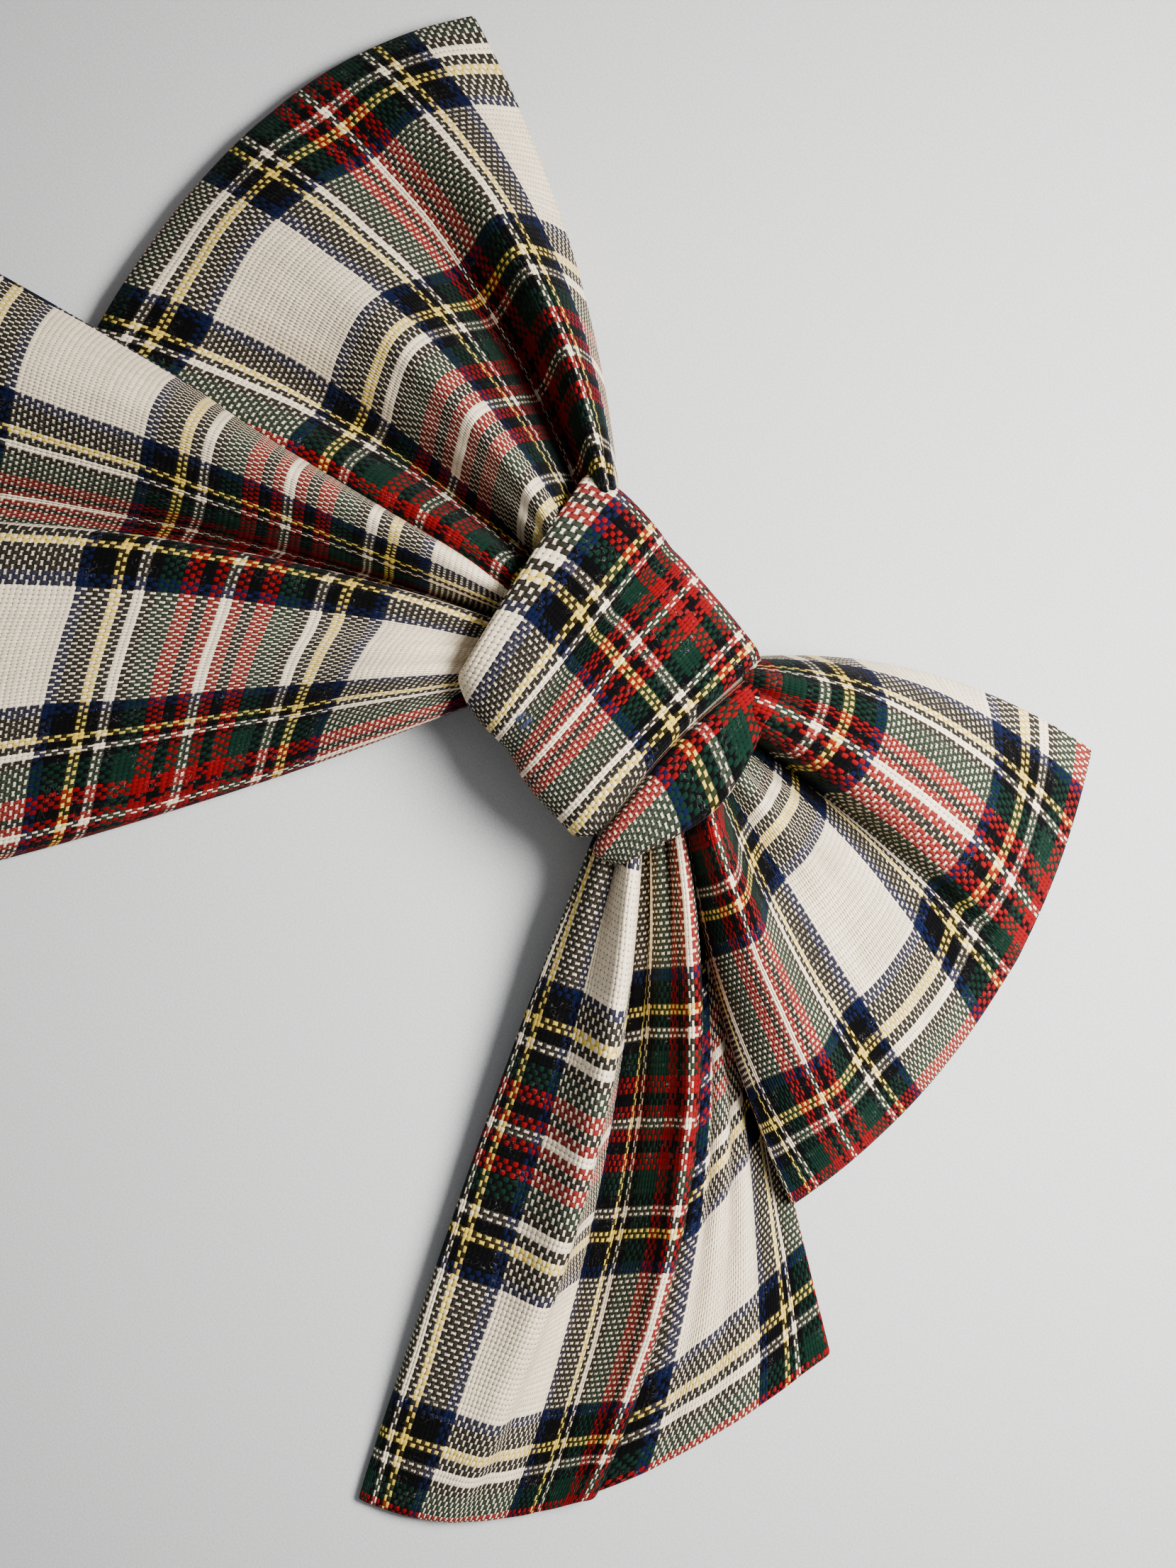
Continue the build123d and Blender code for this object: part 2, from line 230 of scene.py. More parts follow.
def make_weave_group():
    """Plain weave of two sets of dyed threads. Cloth is the place on the strip in mm."""
    tree, entry, leave = new_group(
        "tartan_weave",
        [("Cloth", "NodeSocketVector"), ("Lengthwise pivot", "NodeSocketFloat"),
         ("Crosswise pivot", "NodeSocketFloat")],
        [("Color", "NodeSocketColor"), ("Height", "NodeSocketFloat"),
         ("Roughness", "NodeSocketFloat")],
    )
    cloth = entry.outputs["Cloth"]
    drift = noise_texture(tree, cloth, scale=0.045, detail=1.0).outputs["Color"]
    drift = combine(tree, "SCALE", combine(tree, "SUBTRACT", drift, MID_GREY), DRIFT)
    waver = noise_texture(tree, cloth, scale=0.85, detail=1.0).outputs["Color"]
    waver = combine(tree, "SCALE", combine(tree, "SUBTRACT", waver, MID_GREY), WAVER)
    place = combine(tree, "ADD", cloth, combine(tree, "ADD", drift, waver))
    parts = add_node(tree, "ShaderNodeSeparateXYZ")
    feed(tree, parts, 0, place)
    across = calculate(tree, "DIVIDE", parts.outputs[0], LENGTHWISE_PITCH)
    along = calculate(tree, "DIVIDE", parts.outputs[1], CROSSWISE_PITCH)
    warp_index = calculate(tree, "FLOOR", across)
    weft_index = calculate(tree, "FLOOR", along)
    warp_height = thread_height(tree, across, warp_index, along, 1.0, LENGTHWISE_FULLNESS)
    weft_height = thread_height(tree, along, weft_index, across, -1.0, CROSSWISE_FULLNESS)

    warp = sett_colour(tree, LENGTHWISE_SETT, warp_index, entry.outputs["Lengthwise pivot"])
    weft = sett_colour(tree, CROSSWISE_SETT, weft_index, entry.outputs["Crosswise pivot"])
    warp = thread_shade(tree, warp, warp_index, seed=3.0)
    weft = thread_shade(tree, weft, weft_index, seed=8.0)
    warp_height = calculate(tree, "ADD", warp_height, LENGTHWISE_RISE)
    lead = calculate(tree, "SUBTRACT", warp_height, weft_height)
    # Painted shade: the darker thread's colour widens over the paler thread's sides, where they
    # curve away into shade.
    paler = calculate(tree, "SUBTRACT", brightness(tree, weft), brightness(tree, warp))
    lead = calculate(tree, "MULTIPLY_ADD", paler, PAINTED_SIDE_SHADE_SPREAD, lead)
    fibre = noise_texture(tree, cloth, scale=4.2, detail=3.0).outputs[0]
    ragged = calculate(tree, "MULTIPLY_ADD", fibre, EDGE_RAGGEDNESS, -EDGE_RAGGEDNESS / 2)
    on_top_with_painted_shade = calculate(tree, "ADD", calculate(tree, "MULTIPLY", lead, EDGE_SHARPNESS), ragged)
    colour = blend_colours(tree, "MIX", limit(tree, calculate(tree, "ADD", on_top_with_painted_shade, 0.5)),
                           weft, warp)
    brushed_nap = blend_colours(tree, "MIX", 0.5, weft, warp)
    colour = blend_colours(tree, "MIX", BRUSHED_SHARE, colour, brushed_nap)

    height = calculate(tree, "MAXIMUM", warp_height, weft_height)
    # Painted shade: the colour darkens where the threads lie low, in the gaps between them.
    painted_pinhole_shade = limit(tree, calculate(tree, "MULTIPLY_ADD", height, PINHOLE_SHARPNESS,
                                    -PINHOLE_SHARPNESS * PINHOLE_HEIGHT))
    colour = combine(tree, "SCALE", colour, painted_pinhole_shade)
    patches = noise_texture(tree, cloth, scale=0.12, detail=3.0).outputs[0]
    colour = combine(tree, "SCALE", colour, factor_about_one(tree, patches, PATCH_SHADING))

    curl = noise_texture(tree, cloth, scale=1.1, detail=1.0).outputs[0]
    from_hair = calculate(tree, "ABSOLUTE", calculate(tree, "SUBTRACT", curl, 0.5))
    hair = limit(tree, calculate(tree, "MULTIPLY_ADD", from_hair, -HAIR_FINENESS, 1.0))
    sparse = noise_texture(tree, cloth, scale=0.35, detail=1.0).outputs[0]
    sparse = limit(tree, calculate(tree, "MULTIPLY_ADD", sparse, 6.0, -3.0))
    hair = calculate(tree, "MULTIPLY", calculate(tree, "MULTIPLY", hair, sparse), HAIR_STRENGTH)
    colour = blend_colours(tree, "MIX", hair, colour, HAIR_GREY)

    tree.links.new(colour, leave.inputs["Color"])
    surface = calculate(tree, "MULTIPLY_ADD", fibre, 0.5, height)
    tree.links.new(surface, leave.inputs["Height"])
    roughness = calculate(tree, "MULTIPLY_ADD", fibre, 0.2, 0.78)
    tree.links.new(roughness, leave.inputs["Roughness"])
    return tree


def make_twist_group():
    """Plied sewing thread: slanting plies and loose fibre, on object coordinates."""
    tree, entry, leave = new_group(
        "plied_thread",
        [("Position", "NodeSocketVector")],
        [("Shade", "NodeSocketFloat"), ("Height", "NodeSocketFloat")],
    )
    ply = add_node(tree, "ShaderNodeTexWave", bands_direction="DIAGONAL")
    feed(tree, ply, "Vector", entry.outputs["Position"])
    feed(tree, ply, "Scale", 700.0)
    feed(tree, ply, "Distortion", 1.5)
    fibre = noise_texture(tree, entry.outputs["Position"], scale=4000.0).outputs[0]
    height = calculate(tree, "MULTIPLY_ADD", fibre, 0.4, ply.outputs[1])
    shade = calculate(tree, "MULTIPLY_ADD", height, 0.35, 0.55)
    tree.links.new(shade, leave.inputs["Shade"])
    tree.links.new(height, leave.inputs["Height"])
    return tree


def make_metal_grain_group():
    """Rolled sheet metal: fine lines along the strip, scuffs and handling marks."""
    tree, entry, leave = new_group(
        "rolled_metal",
        [("Position", "NodeSocketVector")],
        [("Lines", "NodeSocketFloat"), ("Marks", "NodeSocketFloat")],
    )
    stretched = combine(tree, "MULTIPLY", entry.outputs["Position"], (60.0, 2600.0, 2600.0))
    lines = noise_texture(tree, stretched, scale=1.0, detail=3.0).outputs[0]
    marks = noise_texture(tree, entry.outputs["Position"], scale=260.0, detail=5.0).outputs[0]
    tree.links.new(lines, leave.inputs["Lines"])
    tree.links.new(marks, leave.inputs["Marks"])
    return tree


def new_material(name):
    material = bpy.data.materials.new(name)
    material.use_nodes = True
    tree = material.node_tree
    return material, tree, tree.nodes["Principled BSDF"]


def add_bump(tree, shader, height, strength, distance):
    bump = add_node(tree, "ShaderNodeBump")
    bump.inputs["Strength"].default_value = strength
    bump.inputs["Distance"].default_value = distance
    tree.links.new(height, bump.inputs["Height"])
    tree.links.new(bump.outputs[0], shader.inputs["Normal"])


def tartan(name, weave, lengthwise_pivot, crosswise_pivot):
    """Brushed cotton tartan; the pivots are the threads that the sett mirrors about."""
    material, tree, shader = new_material(name)
    cloth = add_node(tree, "ShaderNodeUVMap", uv_map="cloth")
    group = add_node(tree, "ShaderNodeGroup", node_tree=weave)
    tree.links.new(cloth.outputs[0], group.inputs["Cloth"])
    group.inputs["Lengthwise pivot"].default_value = lengthwise_pivot
    group.inputs["Crosswise pivot"].default_value = crosswise_pivot
    tree.links.new(group.outputs["Color"], shader.inputs["Base Color"])
    tree.links.new(group.outputs["Roughness"], shader.inputs["Roughness"])
    shader.inputs["Specular IOR Level"].default_value = 0.04
    shader.inputs["Sheen Weight"].default_value = 0.015
    shader.inputs["Sheen Roughness"].default_value = 0.6
    add_bump(tree, shader, group.outputs["Height"], strength=0.75, distance=0.00022)
    return material


def sewing_thread(name, twist, colour):
    material, tree, shader = new_material(name)
    place = add_node(tree, "ShaderNodeTexCoord")
    group = add_node(tree, "ShaderNodeGroup", node_tree=twist)
    tree.links.new(place.outputs["Object"], group.inputs["Position"])
    shaded = combine(tree, "SCALE", colour, group.outputs["Shade"])
    tree.links.new(shaded, shader.inputs["Base Color"])
    shader.inputs["Roughness"].default_value = 0.7
    shader.inputs["Sheen Weight"].default_value = 0.2
    add_bump(tree, shader, group.outputs["Height"], strength=0.6, distance=0.0001)
    return material


def rolled_metal(name, grain, colour, dull_colour, roughness):
    material, tree, shader = new_material(name)
    place = add_node(tree, "ShaderNodeTexCoord")
    group = add_node(tree, "ShaderNodeGroup", node_tree=grain)
    tree.links.new(place.outputs["Object"], group.inputs["Position"])
    tone = blend_colours(tree, "MIX", group.outputs["Marks"], (*colour, 1), (*dull_colour, 1))
    tree.links.new(tone, shader.inputs["Base Color"])
    worn = calculate(tree, "MULTIPLY_ADD", group.outputs["Lines"], 0.22, roughness - 0.16)
    worn = calculate(tree, "MULTIPLY_ADD", group.outputs["Marks"], 0.14, worn)
    tree.links.new(worn, shader.inputs["Roughness"])
    shader.inputs["Metallic"].default_value = 1.0
    add_bump(tree, shader, group.outputs["Lines"], strength=0.25, distance=0.00005)
    return material


# ---------------------------------------------------------------- cloth by its folds

# A fold line runs from the mouth at the knot to the outer edge. cloth is its place
# across the strip; mouth and tip are shares along the mouth line and the outer edge;
# bow is how far it swings to its right; heights are at STATIONS. Millimetres.
Fold = namedtuple("Fold", "cloth mouth tip bow heights")
STATIONS = (0.0, 0.1, 0.28, 0.52, 0.76, 0.93, 1.0)
# The width of the pleats that the knot squeezes into the front, and their phase.
FRONT_PLEAT = 9.0
FRONT_PLEAT_START = 0.6
# The ply underneath follows the front by this share, from this height of the front.
UNDER_RIPPLE = 0.3
FLAT_UNDER_HEIGHT = 11.0
# Its own pleats: their width and height, and how far past the outer fold they grow.
UNDER_PLEAT = 12.5
UNDER_PLEAT_RISE = 2.5
UNDER_PLEAT_GROWTH = 22.0
# How far a loop's outer fold bulges past its front's last points, and the height of
# the pleats at its mouth and how far out they fade.
LOOP_NOSE = 1.6
LOOP_SQUEEZE = (1.0, 12.0)
# How high the small wrinkles stand.
LOOP_WRINKLE = 0.7
TAIL_WRINKLE = 0.45
KNOT_WRINKLE = 0.35
# How far wrinkles reach from the gathers, and the size of broad and fine ones,
# across and along the strip.
WRINKLE_REACH = 22.0
BROAD_WRINKLE = (7.0, 26.0)
FINE_WRINKLE = (3.0, 11.0)
FINE_WRINKLE_SHARE = 0.4
# Faces above this height, in metres, are sure to be on a piece's upper side.
UPPER_SIDE = 0.009


def curve_through(places, values, wanted):
    """A cubic through the values at these places, read at the wanted places."""
    places = np.asarray(places, float)
    values = np.asarray(values, float)
    wanted = np.asarray(wanted, float)
    slopes = np.gradient(values, places, axis=0)
    after = np.clip(np.searchsorted(places, wanted, side="right"), 1, len(places) - 1)
    before = after - 1
    gap = (places[after] - places[before]).reshape((-1,) + (1,) * (values.ndim - 1))
    t = ((wanted - places[before]) / gap.reshape(-1)).reshape(gap.shape)
    return (
        values[before] * (2 * t**3 - 3 * t**2 + 1)
        + slopes[before] * gap * (t**3 - 2 * t**2 + t)
        + values[after] * (3 * t**2 - 2 * t**3)
        + slopes[after] * gap * (t**3 - t**2)
    )


def mean_spacing(points):
    """Places of successive rows of points, by the mean distance between them."""
    steps = np.linalg.norm(np.diff(points, axis=0), axis=2).mean(axis=1)
    return np.concatenate(([0.0], np.cumsum(steps)))


def between(ends, share):
    start, end = (np.array(point, float) for point in ends)
    return start + (end - start) * share


def along_edge(edge, share):
    """A point of the bent outer edge given by its first corner, bend and last corner."""
    return between((between(edge[:2], share), between(edge[1:], share)), share)


def fold_line(fold, mouth, edge):
    start = between(mouth, fold.mouth)
    run = along_edge(edge, fold.tip) - start
    right = np.array((run[1], -run[0])) / np.hypot(*run)
    shares = np.array(STATIONS)[:, None]
    plan = start + run * shares + right * fold.bow * 4 * shares * (1 - shares)
    return np.column_stack((plan, fold.heights))


def turned_under(front, under_heights, nose):
    """Adds the ply that turns at the outer fold and goes back underneath."""
    outward = front[-1] - front[-2]
    outward[2] = 0
    outward /= np.linalg.norm(outward)
    middle = (front[-1, 2] + under_heights[0]) / 2
    turn = np.array((*(front[-1] + outward * nose)[:2], middle))
    back = front[::-1].copy()
    ripple = (back[:, 2] - FLAT_UNDER_HEIGHT) * UNDER_RIPPLE
    back[:, 2] = np.maximum(np.array(under_heights) + ripple, CLOTH_THICKNESS)
    return np.vstack((front, turn, back))


def wrinkle(across, along, size, seed):
    return noise.noise(Vector((across / size[0], along / size[1], seed)))


def soften(points, cloth_u, cloth_v, seed, size):
    """Small wrinkles that run along the strip, strongest where it is gathered."""
    for column, across in enumerate(cloth_u):
        for row in range(points.shape[1]):
            along = cloth_v[column, row]
            gathered = 0.5 + math.exp(-abs(along) / WRINKLE_REACH)
            broad = wrinkle(across, along, BROAD_WRINKLE, seed)
            fine = wrinkle(across, along, FINE_WRINKLE, seed + 5.0)
            points[column, row, 2] += size * gathered * (broad + FINE_WRINKLE_SHARE * fine)
    return points


def gather_mouth(points, cloth_u, cloth_v, rise, fade):
    """Pleats that the knot squeezes into the cloth, fading outward."""
    wave = np.sin(2 * np.pi * cloth_u / FRONT_PLEAT + FRONT_PLEAT_START)[:, None]
    points[:, :, 2] += rise * np.exp(-np.clip(cloth_v, 0, None) / fade) * wave
    return points


def gather_behind(points, cloth_u, cloth_v, turn_at):
    """The ply underneath lies in pleats, because nothing spreads it."""
    inside_edges = np.sin(np.pi * cloth_u / STRIP_WIDTH)[:, None] ** 0.5
    wave = 1 + np.sin(2 * np.pi * cloth_u / UNDER_PLEAT)[:, None]
    behind = np.clip((cloth_v - turn_at) / UNDER_PLEAT_GROWTH, 0, 1)
    points[:, :, 2] += UNDER_PLEAT_RISE * behind * wave * inside_edges
    return points


def lengths_from(points, reference_row):
    """Distance along each column from the reference row, in millimetres of cloth."""
    steps = np.linalg.norm(np.diff(points, axis=1), axis=2)
    run = np.concatenate((np.zeros((points.shape[0], 1)), np.cumsum(steps, axis=1)), axis=1)
    return run - run[:, [reference_row]]


def surface_through(lines, cloth, columns, rows):
    """Spreads a smooth surface over fold lines; returns its points and cloth places."""
    along = mean_spacing(lines.transpose(1, 0, 2))
    across = mean_spacing(lines)
    fine = curve_through(along, lines.transpose(1, 0, 2), np.linspace(0, along[-1], rows + 1))
    wanted = np.linspace(0, across[-1], columns + 1)
    points = curve_through(across, fine.transpose(1, 0, 2), wanted)
    return points, np.interp(wanted, across, cloth), along


def cloth_piece(name, points, cloth_u, cloth_v, material):
    """Lays a grid on the points, turns its faces outward and gives it its thickness."""
    columns = points.shape[0] - 1
    rows = points.shape[1] - 1
    bm = bmesh.new()
    layer = bm.loops.layers.uv.new("cloth")
    bmesh.ops.create_grid(bm, x_segments=columns, y_segments=rows, size=0.5)
    place = {}
    for vertex in bm.verts:
        column = round((vertex.co.x + 0.5) * columns)
        row = round((vertex.co.y + 0.5) * rows)
        place[vertex] = (column, row)
    for face in bm.faces:
        for loop in face.loops:
            column, row = place[loop.vert]
            loop[layer].uv = (cloth_u[column], cloth_v[column, row])
    for vertex, (column, row) in place.items():
        vertex.co = Vector(points[column, row]) * MM
    bm.normal_update()
    upper = [face for face in bm.faces if face.calc_center_median().z > UPPER_SIDE]
    if sum(face.normal.z * face.calc_area() for face in upper) <= 0:
        bmesh.ops.reverse_faces(bm, faces=bm.faces)
    mesh = bpy.data.meshes.new(name)
    bm.to_mesh(mesh)
    bm.free()
    mesh.shade_smooth()
    mesh.materials.append(material)
    piece = bpy.data.objects.new(name, mesh)
    bpy.context.scene.collection.objects.link(piece)
    wall = piece.modifiers.new("cloth thickness", "SOLIDIFY")
    wall.thickness = CLOTH_THICKNESS * MM
    wall.offset = 0
    rounding = piece.modifiers.new("soft edges", "SUBSURF")
    rounding.levels = 1
    rounding.render_levels = 1
    return piece


# ---------------------------------------------------------------- the two loops

LEFT_LOOP_MOUTH = ((-18.0, 17.5), (-12.5, -6.0))
LEFT_LOOP_EDGE = ((-91.0, 50.5), (-112.0, 14.0), (-83.0, -46.0))
LEFT_LOOP_TURN = 82.5
LEFT_LOOP_FOLDS = [
    Fold(0, 0.00, 0.00, 4, (15, 13, 11, 9, 7.5, 6.2, 5.5)),
    Fold(8, 0.02, 0.11, 6, (19, 20, 18.5, 15, 11.5, 8.5, 6.0)),
    Fold(18, 0.08, 0.22, 7, (21, 24.5, 24.5, 21, 15, 9.4, 6.2)),
    Fold(31, 0.22, 0.37, 6, (12, 9.4, 7.8, 8.2, 8.6, 7.8, 6.0)),
    Fold(42, 0.30, 0.48, 6, (18, 19, 18, 16.5, 13.5, 9.4, 6.2)),
    Fold(54, 0.42, 0.60, 6, (22, 25.5, 26, 22.5, 16, 10.2, 6.2)),
    Fold(66, 0.54, 0.71, 6, (18, 19, 19, 17.5, 13.5, 9.2, 6.0)),
    Fold(76, 0.62, 0.80, 5, (12, 10, 8.8, 9.2, 9.2, 7.8, 6.0)),
    Fold(86, 0.74, 0.88, 4, (20, 22, 20, 16.5, 12, 8.4, 5.6)),
    Fold(97, 0.88, 0.95, 3, (15, 14, 10, 7.5, 6.5, 5.6, 4.8)),
    Fold(112, 1.00, 1.00, 2, (10, 7, 4.2, 3.2, 3.0, 3.0, 3.4)),
]
LEFT_LOOP_UNDER = (1.6, 1.7, 2.0, 2.6, 4.0, 9.0, 12.0)

RIGHT_LOOP_MOUTH = ((11.5, 15.5), (19.0, 0.0))
RIGHT_LOOP_EDGE = ((57.0, 50.4), (85.9, 14.3), (81.6, -31.0))
RIGHT_LOOP_TURN = 67.0
RIGHT_LOOP_FOLDS = [
    Fold(0, 0.00, 0.00, -5, (15, 14, 11, 9, 7.5, 6.2, 5.5)),
    Fold(8, 0.03, 0.08, -6, (19, 20, 20, 16, 12, 8.6, 6.0)),
    Fold(18, 0.10, 0.19, -6, (22, 25.5, 26, 21, 15, 9.6, 6.4)),
    Fold(27, 0.25, 0.30, -5, (22, 25, 25, 20.5, 15.5, 10.0, 6.4)),
    Fold(33, 0.43, 0.375, -3, (20, 23, 22, 18.5, 14, 9.4, 6.4)),
    Fold(37, 0.44, 0.405, -2, (13, 12, 10.5, 10.5, 10, 8.4, 6.2)),
    Fold(50, 0.52, 0.55, -3, (14, 13, 11.5, 11, 11, 9.0, 6.2)),
    Fold(61, 0.60, 0.635, -2, (16, 15, 12, 11, 11, 9.0, 6.2)),
    Fold(74, 0.72, 0.735, 2, (13, 12, 10.5, 11, 11, 9.0, 6.4)),
    Fold(88, 0.86, 0.85, 2, (20, 24, 23, 19, 15, 10.2, 7.2)),
    Fold(103, 0.98, 0.96, 4, (14, 15, 13, 11, 9.6, 8.2, 7.0)),
    Fold(112, 0.97, 1.00, 3, (11, 10, 8.5, 7.8, 7.4, 7.0, 6.6)),
]
RIGHT_LOOP_UNDER = (3.6, 3.8, 4.4, 4.8, 5.4, 9.0, 12.0)


def make_loop(side, mouth, edge, folds, under, turn_at, wrinkle_seed, material):
    name = f"{side}_loop"
    lines = [turned_under(fold_line(fold, mouth, edge), under, LOOP_NOSE) for fold in folds]
    lines = np.array(lines)
    cloth = [fold.cloth for fold in folds]
    columns, rows = 96, 104
    points, cloth_u, along = surface_through(lines, cloth, columns, rows)
    turn_row = round(along[len(STATIONS)] / along[-1] * rows)
    cloth_v = lengths_from(points, turn_row) + turn_at
    points = gather_mouth(points, cloth_u, cloth_v, *LOOP_SQUEEZE)
    points = gather_behind(points, cloth_u, cloth_v, turn_at)
    points = soften(points, cloth_u, cloth_v, wrinkle_seed, LOOP_WRINKLE)
    points[:, :, 2] = np.maximum(points[:, :, 2], RESTING_HEIGHT)
    piece = cloth_piece(name, points, cloth_u, cloth_v, material)
    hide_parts(f"{side}_loop_face", f"{side}_loop_lining")
    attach(piece, "bow")
    return piece


# ---------------------------------------------------------------- the two tails

# A tail's slant is how much further out the crosswise bands lie at its two edges. Its
# squeeze is the height of the pleats at its mouth and how far out they fade.
LEFT_TAIL_LENGTH = 146.0
LEFT_TAIL_SLANT = (0.0, 25.0)
LEFT_TAIL_SQUEEZE = (0.9, 18.0)
LEFT_TAIL_MOUTH = ((-13.0, -1.0), (-9.0, -17.0))
LEFT_TAIL_EDGE = ((-147.5, -48.5), (-108.0, -100.0), (-61.0, -136.0))
LEFT_TAIL_FOLDS = [
    Fold(0, 0.14, 0.00, 3, (10, 11, 11, 12, 10, 5, 2.0)),
    Fold(7, 0.04, 0.05, 3, (14, 16, 16.5, 16, 12.5, 6.5, 2.8)),
    Fold(16, 0.00, 0.14, 4, (17, 21, 21, 18.5, 14.5, 7.5, 3.2)),
    Fold(24, 0.07, 0.22, 4, (16, 19.5, 18.5, 16, 13, 7, 3.1)),
    Fold(34, 0.15, 0.32, 4, (13, 15, 12.5, 10.5, 9, 5.5, 2.6)),
    Fold(44, 0.21, 0.415, 6, (9, 8.5, 5.5, 3.6, 3.2, 3, 1.6)),
    Fold(51, 0.26, 0.468, 7, (8, 6.5, 3.0, 1.8, 1.6, 1.5, 1.2)),
    Fold(56, 0.31, 0.488, 7, (16, 19.5, 17.5, 14.5, 11, 6, 2.6)),
    Fold(66, 0.45, 0.59, 4, (15, 18.5, 17, 14, 11, 5.5, 2.8)),
    Fold(78, 0.60, 0.70, 2, (15, 19, 15.5, 12, 9, 4.5, 2.2)),
    Fold(94, 0.82, 0.84, -1, (14, 16, 10, 7, 5.5, 3.2, 1.8)),
    Fold(107, 0.99, 0.97, -4, (12, 11, 5, 3.2, 2.4, 1.6, 1.2)),
    Fold(112, 0.94, 1.00, -3, (10, 6, 1.8, 1.2, 1.1, 1.0, 0.9)),
]

RIGHT_TAIL_LENGTH = 122.0
RIGHT_TAIL_SLANT = (0.0, 0.0)
RIGHT_TAIL_SQUEEZE = (2.5, 44.0)
RIGHT_TAIL_MOUTH = ((16.0, -12.5), (24.0, -2.0))
RIGHT_TAIL_EDGE = ((75.0, -114.5), (103.5, -101.8), (106.0, -42.0))
RIGHT_TAIL_FOLDS = [
    Fold(0, 0.02, 0.01, 0.5, (10, 9, 5, 3, 2, 1.2, 0.9)),
    Fold(4, 0.04, 0.035, 1.5, (12, 13, 10, 6.5, 4.5, 2.6, 1.6)),
    Fold(13, 0.20, 0.155, -2, (14, 16, 14, 10, 7, 4, 2.2)),
    Fold(21, 0.34, 0.24, -7, (16, 20, 21, 17.5, 10, 4.8, 2.4)),
    Fold(25, 0.36, 0.28, -6, (12, 14, 13.5, 11.5, 7, 3.8, 2.2)),
    Fold(34, 0.39, 0.375, -5, (8, 7.5, 6.5, 5, 4, 3, 1.8)),
    Fold(46, 0.54, 0.47, -7, (11, 12, 11, 9, 6.5, 4, 2.4)),
    Fold(57, 0.76, 0.552, -9, (14, 17, 17.5, 15.5, 12, 7, 4.4)),
    Fold(59, 0.77, 0.557, -9, (11, 13, 12, 9, 6.5, 4.0, 2.8)),
    Fold(66, 0.69, 0.52, -8, (7, 6, 4, 2.4, 1.8, 1.4, 1.1)),
    Fold(76, 0.84, 0.67, -7, (8, 7.5, 5.5, 3.6, 3.0, 2.4, 1.6)),
    Fold(92, 0.92, 0.84, -4, (8, 7, 3.8, 3.2, 3.6, 3.2, 2.2)),
    Fold(112, 1.00, 1.00, 0, (8, 6, 2.6, 2.2, 2.4, 1.8, 1.2)),
]


def make_tail(name, mouth, edge, folds, length, slant, squeeze, wrinkle_seed,
              material):
    lines = np.array([fold_line(fold, mouth, edge) for fold in folds])
    cloth = [fold.cloth for fold in folds]
    columns, rows = 110, 96
    points, cloth_u, _ = surface_through(lines, cloth, columns, rows)
    cloth_v = lengths_from(points, rows) + length
    points = gather_mouth(points, cloth_u, cloth_v, *squeeze)
    cloth_v = cloth_v - np.interp(cloth_u, (0, STRIP_WIDTH), slant)[:, None]
    points = soften(points, cloth_u, cloth_v, wrinkle_seed, TAIL_WRINKLE)
    points[:, :, 2] = np.maximum(points[:, :, 2], RESTING_HEIGHT)
    piece = cloth_piece(name, points, cloth_u, cloth_v, material)
    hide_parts(f"{name}_face", f"{name}_lining")
    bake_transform(piece)
    return piece


# ---------------------------------------------------------------- the knot

# A band pleated across and wrapped front to back. Each line has its x at the far
# side, on top and at the near side, and how far it sinks in at those places.
KnotLine = namedtuple("KnotLine", "cloth x sink")
KNOT_LINES = [
    KnotLine(0, (-19.0, -15.0, -10.5), (5.0, 5.0, 5.0)),
    KnotLine(2.5, (-24.4, -19.2, -13.4), (2.6, 2.4, 2.2)),
    KnotLine(5.6, (-19.8, -14.8, -9.6), (0.6, 0.5, 0.5)),
    KnotLine(9, (-15.6, -11.2, -6.6), (0.1, 0.1, 0.2)),
    KnotLine(14.4, (-9.8, -6.0, -2.4), (0.1, 0.3, 0.5)),
    KnotLine(18.5, (-7.6, -4.2, -0.2), (0.3, 0.7, 0.7)),
    KnotLine(20.5, (-5.8, -2.9, 1.4), (0.1, 0.2, 0.4)),
    KnotLine(26.3, (-1.8, 1.0, 4.4), (0.0, -0.1, -0.3)),
    KnotLine(38.2, (9.4, 11.0, 13.4), (0.0, 0.1, -0.2)),
    KnotLine(42, (12.8, 13.9, 17.0), (0.2, 0.4, 0.3)),
    KnotLine(44.5, (14.4, 15.5, 19.0), (0.8, 2.3, 3.0)),
    KnotLine(90, (14.9, 15.9, 19.4), (0.8, 2.2, 2.8)),
    KnotLine(91.5, (16.2, 17.0, 20.4), (0.2, 0.6, 0.8)),
    KnotLine(96, (18.8, 22.0, 22.6), (0.9, 0.9, 1.3)),
    KnotLine(99.5, (20.4, 26.8, 24.4), (2.8, 3.0, 2.9)),
    KnotLine(102, (17.8, 24.0, 22.0), (6.0, 6.2, 6.0)),
]
KNOT_LINE_SIDES = (-1.0, 0.0, 1.0)
KNOT_LOW, KNOT_HIGH = (corner.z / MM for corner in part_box("knot_face"))
KNOT_CENTRE_Z = (KNOT_LOW + KNOT_HIGH) / 2
KNOT_HALF_HEIGHT = 19.6
KNOT_HALF_DEPTH = 9.3
KNOT_SQUARENESS = 0.78
# The share of a turn by which the band's two ends pass each other underneath, where
# the upper end begins to rise over the lower one, over what share, and how far.
KNOT_OVERLAP = 0.05
LAP_BEGINS = 0.93
LAP_TAKES = 0.12
LAP_RISE = 1.3
# How much a crease counts on the knot's top, against on its sides.
CREASE_ON_TOP = 0.85
TURN_STEPS = 65
KNOT_WRINKLE_SEED = 41.0


def knot_section(turn):
    """Place on the knot's rounded section, turning from underneath, over the top."""
    angle = math.radians(-90) + turn * 2 * math.pi
    side, rise = math.cos(angle), math.sin(angle)
    y = math.copysign(abs(side) ** KNOT_SQUARENESS, side)
    z = math.copysign(abs(rise) ** KNOT_SQUARENESS, rise)
    return y, z


